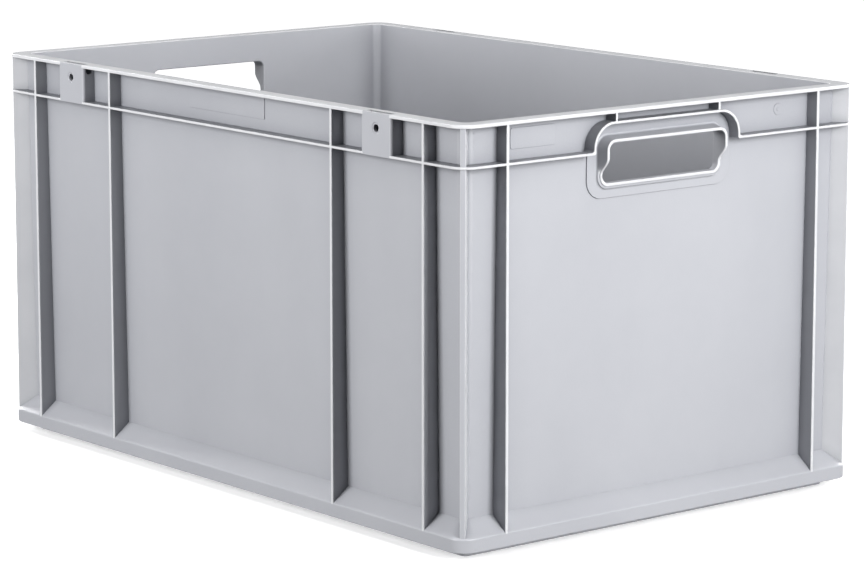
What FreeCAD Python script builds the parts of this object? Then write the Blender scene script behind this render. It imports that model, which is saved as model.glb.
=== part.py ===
import FreeCAD, Part
import math
import os

import Sketcher
from FreeCAD import Placement, Rotation, Vector

# A stacking crate in the 600 x 400 mm Euro size. X is the long side, Y the short side and Z is up.
# The origin is the centre of the base. The front is the long side at -Y, the right end is at +X.
# The crate is one moulding; each named region of it is modelled as a solid of its own, face to face.

DIMENSIONS = [
    ("length_x", 600.0, "outside length over the rims"),
    ("width_y", 400.0, "outside width over the rims"),
    ("height_z", 320.0, "overall height"),
    ("rim_corner", 14.0, "outside corner radius of the rims and the skirt"),
    ("core_inset", 20.0, "inset of the axis that the wall corners curve around"),
    ("wall_inset_top", 10.9, "outside wall face from the rim edge, at the top"),
    ("wall_inset_base", 14.6, "outside wall face from the rim edge, at the bottom"),
    ("wall_thick", 2.8, "wall thickness"),
    ("rim_thick", 2.8, "top rim thickness"),
    ("lower_rim_z", 287.8, "underside of the lower rim"),
    ("lower_rim_thick", 2.0, "lower rim thickness"),
    ("floor_z", 4.0, "underside of the floor panel"),
    ("floor_thick", 3.0, "floor panel thickness"),
    ("foot_inset", 15.2, "outside face of the stacking foot from the rim edge"),
    ("foot_width", 14.0, "width of the stacking foot"),
    ("foot_corner", 5.0, "outside corner radius of the stacking foot"),
    ("base_rib_thick", 3.0, "thickness of a rib under the floor"),
    ("base_rib_pitch", 140.0, "spacing of the ribs under the floor"),
    ("skirt_z", 6.5, "lower edge of the skirt, which rests on the rim of the crate below"),
    ("skirt_crest_z", 17.0, "top of the skirt's upright face"),
    ("skirt_wall_z", 28.5, "height where the skirt's slope meets the wall"),
    ("skirt_thick", 2.5, "thickness of the skirt's upright face"),
    ("skirt_drop", 3.2, "thickness of the skirt's slope, measured upright"),
    ("rib_thick", 2.6, "thickness of an upright rib"),
    ("rib_outer_x", 255.2, "outer ribs of the long sides, from the middle"),
    ("rib_inner_x", 146.3, "inner ribs of the long sides, from the middle"),
    ("rib_end_y", 157.0, "ribs of the ends, from the middle"),
    ("rib_bridge", 8.0, "width of lower rim that runs unbroken in front of a rib"),
    ("fin_thick", 3.6, "thickness of a corner fin"),
    ("fin_reach", 22.2, "outer edge of a corner fin from the wall corner's axis"),
    ("socket_x", 201.0, "middle of a hinge socket from the middle of the crate"),
    ("socket_width", 36.0, "width of a hinge socket"),
    ("socket_wall", 2.5, "wall thickness of a hinge socket"),
    ("slot_length", 30.0, "length of the slot in the rim above a hinge socket"),
    ("slot_width", 5.0, "width of the slot in the rim above a hinge socket"),
    ("screw_hole", 5.6, "diameter of the hole in the face of a hinge socket"),
    ("screw_hole_z", 308.5, "height of the hole in the face of a hinge socket"),
    ("notch_depth", 5.2, "height of the hinge pin notch in a socket's inner cheek"),
    ("notch_width", 6.5, "width of the hinge pin notch"),
    ("grip_half", 58.5, "half the width of the grip hole"),
    ("grip_low_z", 264.5, "lower edge of the grip hole"),
    ("grip_high_z", 295.6, "upper edge of the grip hole"),
    ("grip_corner", 5.5, "corner radius of the grip hole"),
    ("tube_wall", 2.6, "wall thickness of the grip tube"),
    ("lip_step", 8.0, "how far the grip tube's lower lip stands back from its upper lip"),
    ("lip_upper_z", 284.0, "height where the upper lip ends"),
    ("lip_lower_z", 271.0, "height where the lower lip begins"),
    ("arch_half", 74.0, "half the width over the arch above the grip"),
    ("arch_top_z", 311.4, "top of the arch"),
    ("arch_corner", 21.0, "outside corner radius of the arch"),
    ("arch_thick", 2.0, "thickness of the arch"),
    ("strut_y", 52.0, "struts above the arch, from the middle"),
    ("strut_thick", 2.0, "thickness of a strut above the arch"),
    ("surround_low_z", 253.0, "lower edge of the raised surround of the grip"),
    ("surround_corner", 14.5, "lower corner radius of the surround"),
    ("surround_thick", 1.0, "how far the surround stands out of the wall"),
    ("plate_middle", -124.5, "middle of the blank marking plate on the right end"),
    ("plate_half", 21.5, "half the width of the marking plate"),
    ("plate_low_z", 297.5, "lower edge of the marking plate"),
    ("plate_high_z", 313.0, "upper edge of the marking plate"),
    ("plate_corner", 2.0, "corner radius of the marking plate"),
    ("plate_thick", 0.6, "how far the marking plate stands out of the wall"),
]

FRONT, REAR = -1, 1
LEFT, RIGHT = -1, 1


class Size:
    """A length in mm, held with the spreadsheet formula that drives it."""

    def __init__(self, number, text=None):
        self.number = float(number)
        self.text = text or f"{float(number):.6f}"

    def join(self, sign, other, number):
        return Size(number, f"({self.text} {sign} {as_size(other).text})")

    def __add__(self, other):
        return self.join("+", other, self.number + as_size(other).number)

    def __sub__(self, other):
        return self.join("-", other, self.number - as_size(other).number)

    def __mul__(self, other):
        return self.join("*", other, self.number * as_size(other).number)

    def __truediv__(self, other):
        return self.join("/", other, self.number / as_size(other).number)

    def __neg__(self):
        return Size(-self.number, f"(0 - {self.text})")


def as_size(value):
    return value if isinstance(value, Size) else Size(value)


def make_sheet():
    """The spreadsheet of driving dimensions, and the same dimensions as Size objects."""
    table = doc.addObject("Spreadsheet::Sheet", "Dimensions")
    sizes = {}
    for row, (alias, number, note) in enumerate(DIMENSIONS, start=1):
        table.set(f"A{row}", note)
        table.set(f"B{row}", str(number))
        table.setAlias(f"B{row}", alias)
        sizes[alias] = Size(number, f"Dimensions.{alias}")
    doc.recompute()
    return sizes


def bind(item, field, value):
    item.setExpression(field, as_size(value).text)


# ---- sketches and bodies ----

def new_body(label):
    body = doc.addObject("PartDesign::Body", "Body")
    body.Label = label
    return body


def new_sketch(body, role, lift):
    """An empty sketch on one of the body's own planes, lifted along the plane's normal."""
    plane = [item for item in body.Origin.OriginFeatures if item.Role == role][0]
    sketch = body.newObject("Sketcher::SketchObject", "Sketch")
    sketch.AttachmentSupport = [(plane, "")]
    sketch.MapMode = "FlatFace"
    bind(sketch, "AttachmentOffset.Base.z", lift)
    return sketch


def locate(sketch, edge, point, axis, value):
    """Ties one coordinate of a sketch point to a Size, measured from the sketch's origin."""
    value = as_size(value)
    kind = "DistanceX" if axis == 0 else "DistanceY"
    if abs(value.number) < 1e-9:
        sketch.addConstraint(Sketcher.Constraint("PointOnObject", edge, point, -2 + axis))
        return
    if value.number > 0:
        rule = Sketcher.Constraint(kind, -1, 1, edge, point, value.number)
        text = value.text
    else:
        rule = Sketcher.Constraint(kind, edge, point, -1, 1, -value.number)
        text = (-value).text
    index = sketch.addConstraint(rule)
    sketch.setExpression(f"Constraints[{index}]", text)


def draw_polygon(sketch, corners):
    """A closed polygon through the corners, each a pair of Sizes."""
    corners = [(as_size(a), as_size(b)) for a, b in corners]
    count = len(corners)
    points = [Vector(a.number, b.number, 0) for a, b in corners]
    for i in range(count):
        sketch.addGeometry(Part.LineSegment(points[i], points[(i + 1) % count]), False)
    for i in range(count):
        sketch.addConstraint(Sketcher.Constraint("Coincident", i, 2, (i + 1) % count, 1))
    for i, (a, b) in enumerate(corners):
        locate(sketch, i, 1, 0, a)
        locate(sketch, i, 1, 1, b)


def draw_round_rect(sketch, low, high, radius):
    """A rectangle from low to high whose four corners are rounded."""
    low = [as_size(v) for v in low]
    high = [as_size(v) for v in high]
    radius = as_size(radius)
    ax, ay = low[0].number, low[1].number
    bx, by = high[0].number, high[1].number
    r = radius.number
    ends = [
        ((ax + r, ay), (bx - r, ay)),
        ((bx, ay + r), (bx, by - r)),
        ((bx - r, by), (ax + r, by)),
        ((ax, by - r), (ax, ay + r)),
    ]
    for start, end in ends:
        sketch.addGeometry(Part.LineSegment(Vector(*start, 0), Vector(*end, 0)), False)
    centres = [(bx - r, ay + r), (bx - r, by - r), (ax + r, by - r), (ax + r, ay + r)]
    for i, centre in enumerate(centres):
        circle = Part.Circle(Vector(*centre, 0), Vector(0, 0, 1), r)
        start = math.radians(90 * (i - 1))
        sketch.addGeometry(Part.ArcOfCircle(circle, start, start + math.pi / 2), False)
    for i in range(4):
        sketch.addConstraint(Sketcher.Constraint("Tangent", i, 2, 4 + i, 1))
        sketch.addConstraint(Sketcher.Constraint("Tangent", 4 + i, 2, (i + 1) % 4, 1))
    for i in (0, 2):
        sketch.addConstraint(Sketcher.Constraint("Horizontal", i))
    for i in (1, 3):
        sketch.addConstraint(Sketcher.Constraint("Vertical", i))
    for i in (5, 6, 7):
        sketch.addConstraint(Sketcher.Constraint("Equal", 4, i))
    index = sketch.addConstraint(Sketcher.Constraint("Radius", 4, r))
    sketch.setExpression(f"Constraints[{index}]", radius.text)
    locate(sketch, 0, 1, 1, low[1])
    locate(sketch, 2, 1, 1, high[1])
    locate(sketch, 1, 1, 0, high[0])
    locate(sketch, 3, 1, 0, low[0])


def pad(body, sketch, length):
    feature = body.newObject("PartDesign::Pad", "Pad")
    feature.Profile = sketch
    bind(feature, "Length", length)
    return feature


def loft(body, first, second):
    feature = body.newObject("PartDesign::AdditiveLoft", "Loft")
    feature.Profile = first
    feature.Sections = [second]
    feature.Ruled = True
    return feature


def plan_rect(body, level, inset, radius):
    """A sketch of the crate's rounded outline seen from above, inset from the rim edge."""
    half_x = L / 2 - inset
    half_y = W / 2 - inset
    sketch = new_sketch(body, "XY_Plane", level)
    draw_round_rect(sketch, (-half_x, -half_y), (half_x, half_y), radius)
    return sketch


def plan_prism(label, low, high, inset, radius):
    body = new_body(label)
    pad(body, plan_rect(body, low, inset, radius), as_size(high) - low)
    return body


def end_prism(label, side, low, high, radius, reach=None):
    """A rounded block that stands on the end plane and runs inwards through the end wall."""
    depth = D["core_inset"] + 4
    start = L / 2 - depth if side == RIGHT else -(L / 2)
    body = new_body(label)
    sketch = new_sketch(body, "YZ_Plane", start)
    draw_round_rect(sketch, low, high, radius)
    pad(body, sketch, depth)
    return body


def box(label, low, high):
    """A plain block between two corners."""
    item = doc.addObject("Part::Box", "Block")
    item.Label = label
    for field, axis in (("Length", 0), ("Width", 1), ("Height", 2)):
        bind(item, field, as_size(high[axis]) - low[axis])
        bind(item, f"Placement.Base.{'xyz'[axis]}", low[axis])
    return item


def cut(label, base, *tools):
    tool = tools[0]
    if len(tools) > 1:
        tool = doc.addObject("Part::Compound", "Tools")
        tool.Links = list(tools)
    item = doc.addObject("Part::Cut", "Cut")
    item.Label = label
    item.Base = base
    item.Tool = tool
    item.Refine = True
    return item


def common(label, base, tool):
    item = doc.addObject("Part::Common", "Common")
    item.Label = label
    item.Base = base
    item.Tool = tool
    item.Refine = True
    return item


def group(label, *items):
    item = doc.addObject("Part::Compound", "Group")
    item.Label = label
    item.Links = list(items)
    return item


# ---- shared shapes that the pieces are cut with ----

def wall_inset(level):
    """Inset of the outside wall face at a height: the walls lean in towards the base."""
    lean = (D["wall_inset_base"] - D["wall_inset_top"]) / H
    return D["wall_inset_top"] + (H - level) * lean


def tapered_block(label, low, high, extra):
    """The crate's tapered body between two heights, its faces moved inwards by extra."""
    body = new_body(label)
    sketches = []
    for level in (as_size(low), as_size(high)):
        inset = wall_inset(level) + extra
        sketches.append(plan_rect(body, level, inset, D["core_inset"] - inset))
    loft(body, *sketches)
    return body


def mitre_wedge(label, along_x, side):
    """The quarter of the plan that belongs to one side, split at 45 degrees through the corners."""
    deep, out = Size(60), Size(-10)
    corners = []
    for inset, sign in ((deep, -1), (deep, 1), (out, 1), (out, -1)):
        x, y = L / 2 - inset, W / 2 - inset
        corners.append((x * sign, y * side) if along_x else (x * side, y * sign))
    body = new_body(label)
    sketch = new_sketch(body, "XY_Plane", Size(-5))
    draw_polygon(sketch, corners)
    pad(body, sketch, H + 10)
    return body


def skirt_block(label, inset, radius, low, crest, top):
    """An upright band with a slope above it that runs up to the wall."""
    body = new_body(label)
    pad(body, plan_rect(body, low, inset, radius), as_size(crest) - low)
    at_wall = wall_inset(D["skirt_wall_z"])
    slope_low = plan_rect(body, crest, inset, radius)
    slope_high = plan_rect(body, top, at_wall, D["core_inset"] - at_wall)
    loft(body, slope_low, slope_high)
    return body


# ---- pieces ----

def make_base():
    """Floor panel, the stacking foot around its edge and the ribs under it."""
    inset = wall_inset(D["floor_z"] + D["floor_thick"])
    floor_top = D["floor_z"] + D["floor_thick"]
    floor = plan_prism("floor_panel", D["floor_z"], floor_top, inset, D["core_inset"] - inset)
    keep(floor)
    outside = plan_prism("foot_outside", 0, D["floor_z"], D["foot_inset"], D["foot_corner"])
    inner = D["foot_inset"] + D["foot_width"]
    x, y = L / 2 - inner, W / 2 - inner
    inside = box("foot_inside", (-x, -y, Size(-1)), (x, y, D["floor_z"] + 1))
    ring = cut("foot_ring", outside, inside)
    for name, wedge in wedges.items():
        keep(common(f"stacking_foot_{name}", ring, wedge))
    half = D["base_rib_thick"] / 2
    for name, step in (("left", -1), ("middle", 0), ("right", 1)):
        at = D["base_rib_pitch"] * step
        keep(box(f"base_rib_{name}", (at - half, -y, Size(0)), (at + half, y, D["floor_z"])))


def make_skirt():
    """The hollow skirt around the base, whose lower edge sits on the rim of the crate below."""
    thick = D["skirt_thick"]
    run = wall_inset(D["skirt_wall_z"])
    rise = D["skirt_wall_z"] - D["skirt_crest_z"]
    inner_crest = D["skirt_crest_z"] + thick * rise / run - D["skirt_drop"]
    inner_top = D["skirt_wall_z"] - D["skirt_drop"]
    hollow = skirt_block("skirt_inside", thick, D["rim_corner"] - thick, Size(-1), inner_crest, inner_top)
    ring = cut("skirt_ring", skirt_outside, hollow, walls_outside)
    for name, wedge in wedges.items():
        keep(common(f"base_skirt_{name}", ring, wedge))


def make_walls():
    """Four tapered walls that share their rounded corners. The end walls take the grip tubes."""
    low = D["floor_z"] + D["floor_thick"]
    outside = tapered_block("walls_block", low, H - D["rim_thick"], Size(0))
    ring = cut("walls_ring", outside, cavity)
    for name, wedge in wedges.items():
        if name in grip_blocks:
            keep(cut(f"{name}_wall", common(f"{name}_wall_blank", ring, wedge), grip_blocks[name]))
        else:
            keep(common(f"{name}_wall", ring, wedge))


def make_top_rim():
    """The flat top rim, with a slot over each hinge socket."""
    low = H - D["rim_thick"]
    outside = plan_prism("rim_outside", low, H, Size(0), D["rim_corner"])
    inset = D["wall_inset_top"] + D["wall_thick"]
    inside = plan_prism("rim_inside", low - 1, H + 1, inset, D["core_inset"] - inset)
    ring = cut("rim_ring", outside, inside)
    for name, wedge in wedges.items():
        piece = common(f"top_rim_{name}", ring, wedge)
        if name in ("front", "rear"):
            side = FRONT if name == "front" else REAR
            slots = [rim_slot(side, end) for end in (LEFT, RIGHT)]
            piece.Label = f"top_rim_{name}_blank"
            piece = cut(f"top_rim_{name}", piece, *slots)
        keep(piece)


def span(side, near, far):
    """Low and high ends of a stretch given by its distances out from the middle on one side."""
    return (near, far) if side > 0 else (-far, -near)


def rim_slot(side, end):
    half = D["slot_length"] / 2
    x = span(end, D["socket_x"] - half, D["socket_x"] + half)
    far = W / 2 - D["socket_wall"]
    y = span(side, far - D["slot_width"], far)
    return box("rim_slot", (x[0], y[0], H - D["rim_thick"] - 1), (x[1], y[1], H + 1))


def make_lower_rim():
    """The lower rim: whole along the long sides, and broken by the grip arch on the ends."""
    low = D["lower_rim_z"]
    high = low + D["lower_rim_thick"]
    outside = plan_prism("lower_rim_outside", low, high, Size(0), D["rim_corner"])
    notches = [rib_notch(side, at) for side in (FRONT, REAR) for at in long_rib_places()]
    notches += [end_rib_notch(end, at) for end in (LEFT, RIGHT) for at in end_rib_places()]
    notches += [fin_block("fin_notch", sx, sy, D["fin_reach"] - D["rib_bridge"])
                for sx in (LEFT, RIGHT) for sy in (FRONT, REAR)]
    ring = cut("lower_rim_ring", outside, walls_outside, *notches)
    for name in ("front", "rear"):
        keep(common(f"lower_rim_{name}", ring, wedges[name]))
    for name, end in (("left", LEFT), ("right", RIGHT)):
        part = common(f"lower_rim_{name}_blank", ring, wedges[name])
        x = span(end, L / 2 - 40, L / 2 + 5)
        for place, side in (("front", FRONT), ("rear", REAR)):
            y = span(side, D["arch_half"], W / 2 + 5)
            half = box("rim_half", (x[0], y[0], low - 1), (x[1], y[1], high + 1))
            keep(common(f"lower_rim_{name}_{place}", part, half))
    return ring


def long_rib_places():
    return [-D["rib_outer_x"], -D["rib_inner_x"], D["rib_inner_x"], D["rib_outer_x"]]


def end_rib_places():
    return [-D["rib_end_y"], D["rib_end_y"]]


def rib_notch(side, at):
    half = D["rib_thick"] / 2
    y = span(side, W / 2 - D["core_inset"], W / 2 - D["rib_bridge"])
    z = (D["lower_rim_z"] - 1, D["lower_rim_z"] + D["lower_rim_thick"] + 1)
    return box("rib_notch", (at - half, y[0], z[0]), (at + half, y[1], z[1]))


def end_rib_notch(end, at):
    half = D["rib_thick"] / 2
    x = span(end, L / 2 - D["core_inset"], L / 2 - D["rib_bridge"])
    z = (D["lower_rim_z"] - 1, D["lower_rim_z"] + D["lower_rim_thick"] + 1)
    return box("rib_notch", (x[0], at - half, z[0]), (x[1], at + half, z[1]))


def fin_block(label, sx, sy, reach):
    """An upright plate that runs out of a wall corner along the diagonal."""
    turn = math.degrees(math.atan2(sy, sx))
    half = D["fin_thick"] / 2
    item = doc.addObject("Part::Box", "Fin")
    item.Label = label
    bind(item, "Length", reach)
    bind(item, "Width", D["fin_thick"])
    bind(item, "Height", H - D["rim_thick"] - D["skirt_z"])
    item.Placement = Placement(Vector(), Rotation(Vector(0, 0, 1), turn))
    sine = math.sin(math.radians(turn))
    cosine = math.cos(math.radians(turn))
    bind(item, "Placement.Base.x", (L / 2 - D["core_inset"]) * sx + half * sine)
    bind(item, "Placement.Base.y", (W / 2 - D["core_inset"]) * sy - half * cosine)
    bind(item, "Placement.Base.z", D["skirt_z"])
    return item


def make_ribs():
    """Upright ribs from the skirt's slope to the top rim, let into the lower rim from behind."""
    half = D["rib_thick"] / 2
    low, high = D["skirt_z"], H - D["rim_thick"]
    number = ("left_outer", "left_inner", "right_inner", "right_outer")
    for side_name, side in (("front", FRONT), ("rear", REAR)):
        y = span(side, W / 2 - D["core_inset"], W / 2)
        for name, at in zip(number, long_rib_places()):
            blank = box("rib_blank", (at - half, y[0], low), (at + half, y[1], high))
            keep(cut(f"{side_name}_rib_{name}", blank, walls_outside, skirt_outside, lower_rim))
    for end_name, end in (("left", LEFT), ("right", RIGHT)):
        x = span(end, L / 2 - D["core_inset"], L / 2)
        for name, at in zip(("front", "rear"), end_rib_places()):
            blank = box("rib_blank", (x[0], at - half, low), (x[1], at + half, high))
            keep(cut(f"{end_name}_rib_{name}", blank, walls_outside, skirt_outside, lower_rim))


def make_fins():
    """One upright fin on the diagonal of each corner."""
    for x_name, sx in (("left", LEFT), ("right", RIGHT)):
        for y_name, sy in (("front", FRONT), ("rear", REAR)):
            blank = fin_block("fin_blank", sx, sy, D["fin_reach"])
            keep(cut(f"corner_fin_{y_name}_{x_name}", blank, walls_outside, skirt_outside, lower_rim))


def make_sockets():
    """Hollow lid hinge sockets between the two rims, two on each long side."""
    half = D["socket_width"] / 2
    wall = D["socket_wall"]
    low = D["lower_rim_z"] + D["lower_rim_thick"]
    high = H - D["rim_thick"]
    for y_name, side in (("front", FRONT), ("rear", REAR)):
        for x_name, end in (("left", LEFT), ("right", RIGHT)):
            x = span(end, D["socket_x"] - half, D["socket_x"] + half)
            y = span(side, W / 2 - D["core_inset"], W / 2)
            blank = box("socket_blank", (x[0], y[0], low), (x[1], y[1], high))
            y_in = span(side, W / 2 - D["core_inset"] - 1, W / 2 - wall)
            hollow = box("socket_hollow", (x[0] + wall, y_in[0], low - 1), (x[1] - wall, y_in[1], high + 1))
            x_notch = span(end, D["socket_x"] - half - 1, D["socket_x"] - half + wall + 1)
            y_far = W / 2 - wall - 0.5
            y_notch = span(side, y_far - D["notch_width"], y_far)
            notch = box("pin_notch", (x_notch[0], y_notch[0], high - D["notch_depth"]),
                        (x_notch[1], y_notch[1], high + 1))
            hole = screw_hole(side, end)
            keep(cut(f"hinge_socket_{y_name}_{x_name}", blank, walls_outside, hollow, notch, hole))


def screw_hole(side, end):
    """A round hole through the face of a socket, along Y."""
    hole = doc.addObject("Part::Cylinder", "ScrewHole")
    bind(hole, "Radius", D["screw_hole"] / 2)
    bind(hole, "Height", D["socket_wall"] + 2)
    hole.Placement = Placement(Vector(), Rotation(Vector(1, 0, 0), 90))
    start = W / 2 - D["socket_wall"] - 1 if side == FRONT else W / 2 + 1
    bind(hole, "Placement.Base.x", D["socket_x"] * end)
    bind(hole, "Placement.Base.y", start * side)
    bind(hole, "Placement.Base.z", D["screw_hole_z"])
    return hole


def tube_block(label, side, wall):
    """The grip tube's outline as a block, its faces moved out from the grip hole by wall."""
    half = D["grip_half"] + wall
    low = (-half, D["grip_low_z"] - wall)
    high = (half, D["grip_high_z"] + wall)
    return end_prism(label, side, low, high, D["grip_corner"] + wall)


def lip_cutter(side):
    """What is taken off the grip tube's mouth: its side edges swing back in an S to the lower lip."""
    x_far = L / 2 + 5
    x_up, x_low = L / 2, L / 2 - D["lip_step"]
    z_up, z_low = D["lip_upper_z"], D["lip_lower_z"]
    drop = z_up - z_low
    bend = (D["lip_step"] * D["lip_step"] + drop * drop) / (D["lip_step"] * 4)
    flip = 1 if side == RIGHT else -1
    bottom = D["grip_low_z"] - 20
    body = new_body("lip_cutter")
    sketch = new_sketch(body, "XZ_Plane", -(W / 4))

    def at(x, z):
        return Vector(x.number * flip, z.number, 0)

    middle = ((x_up + x_low) / 2, (z_up + z_low) / 2)
    lines = [((x_low, bottom), (x_far, bottom)), ((x_far, bottom), (x_far, z_up)),
             ((x_far, z_up), (x_up, z_up)), ((x_low, z_low), (x_low, bottom))]
    for start, end in lines:
        sketch.addGeometry(Part.LineSegment(at(*start), at(*end)), False)
    mid_1 = at((x_up - bend) + bend * math.cos(math.asin(drop.number / 4 / bend.number)), z_up - drop / 4)
    mid_2 = at((x_low + bend) - bend * math.cos(math.asin(drop.number / 4 / bend.number)), z_low + drop / 4)
    sketch.addGeometry(Part.Arc(at(x_up, z_up), mid_1, at(*middle)), False)
    sketch.addGeometry(Part.Arc(at(*middle), mid_2, at(x_low, z_low)), False)
    pad(body, sketch, W / 2)
    places = [(0, 1, x_low, bottom), (1, 1, x_far, bottom), (2, 1, x_far, z_up), (2, 2, x_up, z_up),
              (3, 1, x_low, z_low)]
    for edge, point, x, z in places:
        locate(sketch, edge, point, 0, x * flip)
        locate(sketch, edge, point, 1, z)
    for first, second in (((0, 2), (1, 1)), ((1, 2), (2, 1)), ((3, 2), (0, 1))):
        sketch.addConstraint(Sketcher.Constraint("Coincident", *first, *second))
    return body


def make_grips():
    """The grip of each end: a tube through the wall, its raised surround, an arch and two struts."""
    arch_inner = D["arch_half"] - D["arch_thick"]
    for name, side in (("left", LEFT), ("right", RIGHT)):
        hole = tube_block("grip_hole", side, Size(0))
        keep(cut(f"{name}_grip_tube", grip_blocks[name], cavity, hole, lip_cutter(side)))
        below = D["surround_low_z"] - 60
        over = end_prism("arch_outside", side, (-D["arch_half"], below),
                         (D["arch_half"], D["arch_top_z"]), D["arch_corner"])
        under_top = D["arch_top_z"] - D["arch_thick"]
        under = end_prism("arch_inside", side, (-arch_inner, below), (arch_inner, under_top),
                          D["arch_corner"] - D["arch_thick"])
        x = span(side, L / 2 - 40, L / 2 + 5)
        lower = box("below_arch", (x[0], -(W / 2), below - 5), (x[1], W / 2, D["lower_rim_z"]))
        keep(cut(f"{name}_grip_arch", over, under, lower, walls_outside))
        field = end_prism("surround_low", side, (-arch_inner, D["surround_low_z"]),
                          (arch_inner, D["arch_top_z"] + 40), D["surround_corner"])
        slab = common("surround_slab", common("surround_field", field, under), surround_outside)
        keep(cut(f"{name}_grip_surround", slab, walls_outside, grip_blocks[name]))
        half = D["strut_thick"] / 2
        x = span(side, L / 2 - D["core_inset"], L / 2)
        struts = []
        for at in (-D["strut_y"], D["strut_y"]):
            blank = box("strut_blank", (x[0], at - half, D["arch_top_z"]), (x[1], at + half, H - D["rim_thick"]))
            struts.append(cut("strut", blank, walls_outside))
        keep(group(f"{name}_grip_struts", *struts))


def make_marking_plate():
    """A blank raised plate on the right end, between the rims."""
    half = D["plate_half"]
    low = (D["plate_middle"] - half, D["plate_low_z"])
    high = (D["plate_middle"] + half, D["plate_high_z"])
    blank = end_prism("plate_blank", RIGHT, low, high, D["plate_corner"])
    skin = tapered_block("plate_outside", Size(200), H, -D["plate_thick"])
    keep(cut("marking_plate", common("plate_slab", blank, skin), walls_outside))


def keep(item):
    pieces.append(item)
    return item


def check_and_write():
    """Stops if anything failed, then writes every piece to its own file."""
    faults = [f"{item.Name} ({item.Label}): {item.State}" for item in doc.Objects
              if any(word in item.State for word in ("Invalid", "Error"))]
    for item in pieces:
        if item.Shape.isNull() or not item.Shape.isValid() or not item.Shape.Solids:
            faults.append(f"{item.Label}: bad shape")
    names = [item.Label for item in pieces]
    if len(set(names)) != len(names):
        faults.append("two pieces share a name")
    if faults:
        raise RuntimeError("; ".join(faults))
    os.makedirs("parts", exist_ok=True)
    for item in pieces:
        item.Shape.exportStep(f"parts/{item.Label}.step")
        solid_count = len(item.Shape.Solids)
        print(f"{item.Label}: {solid_count} solid, {item.Shape.Volume / 1000:.2f} cm3")
    print(len(pieces), "pieces")


doc = FreeCAD.newDocument("stacking_crate")
D = make_sheet()
L, W, H = D["length_x"], D["width_y"], D["height_z"]
pieces = []

walls_outside = tapered_block("walls_outside", Size(0), H, Size(0))
cavity = tapered_block("cavity", Size(-2), H + 2, D["wall_thick"])
surround_outside = tapered_block("surround_outside", Size(200), H, -D["surround_thick"])
skirt_outside = skirt_block("skirt_outside", Size(0), D["rim_corner"], D["skirt_z"],
                            D["skirt_crest_z"], D["skirt_wall_z"])
wedges = {
    "front": mitre_wedge("front_wedge", True, FRONT),
    "rear": mitre_wedge("rear_wedge", True, REAR),
    "left": mitre_wedge("left_wedge", False, LEFT),
    "right": mitre_wedge("right_wedge", False, RIGHT),
}
grip_blocks = {
    "left": tube_block("left_grip_block", LEFT, D["tube_wall"]),
    "right": tube_block("right_grip_block", RIGHT, D["tube_wall"]),
}

make_base()
make_skirt()
make_walls()
make_top_rim()
lower_rim = make_lower_rim()
make_ribs()
make_fins()
make_sockets()
make_grips()
make_marking_plate()
doc.recompute()
check_and_write()
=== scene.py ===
import math

import bmesh
import bpy
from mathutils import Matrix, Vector


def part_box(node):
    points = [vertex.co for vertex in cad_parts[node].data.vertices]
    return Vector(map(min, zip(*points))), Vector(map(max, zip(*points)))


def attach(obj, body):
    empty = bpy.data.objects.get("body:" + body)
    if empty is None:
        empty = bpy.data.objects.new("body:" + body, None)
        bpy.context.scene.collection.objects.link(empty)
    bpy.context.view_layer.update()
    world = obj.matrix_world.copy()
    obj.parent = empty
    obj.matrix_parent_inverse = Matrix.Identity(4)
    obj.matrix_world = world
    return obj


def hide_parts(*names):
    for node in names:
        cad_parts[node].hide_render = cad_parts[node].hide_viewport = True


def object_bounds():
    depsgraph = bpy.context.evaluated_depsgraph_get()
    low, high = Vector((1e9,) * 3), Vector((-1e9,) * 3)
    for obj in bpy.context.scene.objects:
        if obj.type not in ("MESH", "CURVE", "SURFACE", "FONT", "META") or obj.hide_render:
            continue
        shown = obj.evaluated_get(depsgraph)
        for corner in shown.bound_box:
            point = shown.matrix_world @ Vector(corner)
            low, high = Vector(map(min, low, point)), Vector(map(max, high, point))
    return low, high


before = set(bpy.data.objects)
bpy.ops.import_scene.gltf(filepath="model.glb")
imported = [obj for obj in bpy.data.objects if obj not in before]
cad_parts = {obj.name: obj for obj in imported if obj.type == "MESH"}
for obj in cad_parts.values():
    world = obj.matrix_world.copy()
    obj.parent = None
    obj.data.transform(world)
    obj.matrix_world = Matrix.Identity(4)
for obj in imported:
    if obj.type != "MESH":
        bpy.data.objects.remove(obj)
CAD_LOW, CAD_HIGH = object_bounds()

# A stacking crate: one grey polypropylene moulding, 600 x 400 x 320 mm. Lengths are in metres.
# "Inset" is always the distance inwards from the outer edge of the rims, seen from above.
# The walls, rims, skirt, ribs, sockets and grips are rebuilt here with the rounded edges of a moulding.

MM = 0.001
BODY = "root"
SIDES = (("front", -1), ("rear", 1))
ENDS = (("left", -1), ("right", 1))
ALL_AROUND = ("front", "rear", "left", "right")

# ---- sizes from the CAD frame ----

HALF_X = (CAD_HIGH.x - CAD_LOW.x) / 2
HALF_Y = (CAD_HIGH.y - CAD_LOW.y) / 2
TOP = CAD_HIGH.z
BOTTOM = CAD_LOW.z

FLOOR_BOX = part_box("floor_panel")
WALL_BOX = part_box("front_wall")
RIM_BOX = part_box("top_rim_front")
LOWER_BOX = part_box("lower_rim_front")
SKIRT_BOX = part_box("base_skirt_front")
RIM_UNDER = RIM_BOX[0].z
LOWER_Z = (LOWER_BOX[0].z, LOWER_BOX[1].z)
SKIRT_TOP = SKIRT_BOX[1].z

# ---- walls and rims ----

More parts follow.
